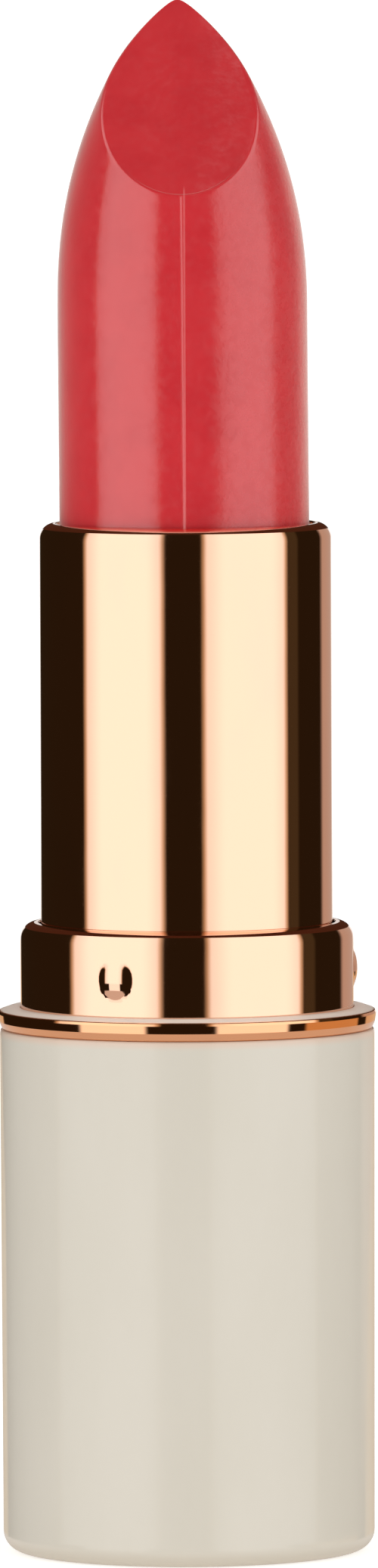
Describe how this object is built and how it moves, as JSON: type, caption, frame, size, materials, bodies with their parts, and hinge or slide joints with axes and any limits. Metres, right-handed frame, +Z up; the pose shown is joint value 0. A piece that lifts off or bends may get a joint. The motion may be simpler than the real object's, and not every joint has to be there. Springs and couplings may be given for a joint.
{
  "type": "lipstick case",
  "caption": "Swivel lipstick case standing open: cream base, metal collar and barrel, and a red bullet that winds up and down.",
  "frame": {"origin": "centre of the face that the base stands on", "axes": "+Z up along the case, -Y towards the bullet's slanted facet"},
  "size_m": [0.0184, 0.0184, 0.075],
  "materials": {
    "cream_lacquer": "glossy cream",
    "rose_gold": "polished rose gold",
    "copper_trim": "polished copper",
    "red_wax": "satin red wax",
    "brass": "drawn brass",
    "steel": "satin steel",
    "white_plastic": "moulded white",
    "black_rubber": "matte black",
    "label_paper": "matte paper"
  },
  "bodies": {
    "base": {"base_shell": "cream_lacquer", "base_liner": "white_plastic", "base_weight": "steel", "shade_label": "label_paper", "collar": "rose_gold", "trim_ring": "copper_trim", "collar_liner": "white_plastic", "friction_ring": "black_rubber", "glide_washer": "white_plastic", "guide_tube": "brass"},
    "barrel": {"barrel_shell": "rose_gold", "spiral_sleeve": "brass"},
    "carrier": {"carrier_cup": "brass", "carrier_pin_right": "steel", "carrier_pin_left": "steel", "bullet": "red_wax"}
  },
  "joints": [
    {"name": "barrel_twist", "type": "hinge", "parent": "base", "child": "barrel", "pos_m": [0, 0, 0.03], "axis": [0, 0, 1], "range_deg": [0, 450]},
    {"name": "bullet_lift", "type": "slide", "parent": "base", "child": "carrier", "axis": [0, 0, 1], "range_m": [-0.0256, 0]}
  ],
  "couplings": [
    {"joint": "bullet_lift", "follows": "barrel_twist", "m_per_rad": -0.0032595}
  ]
}
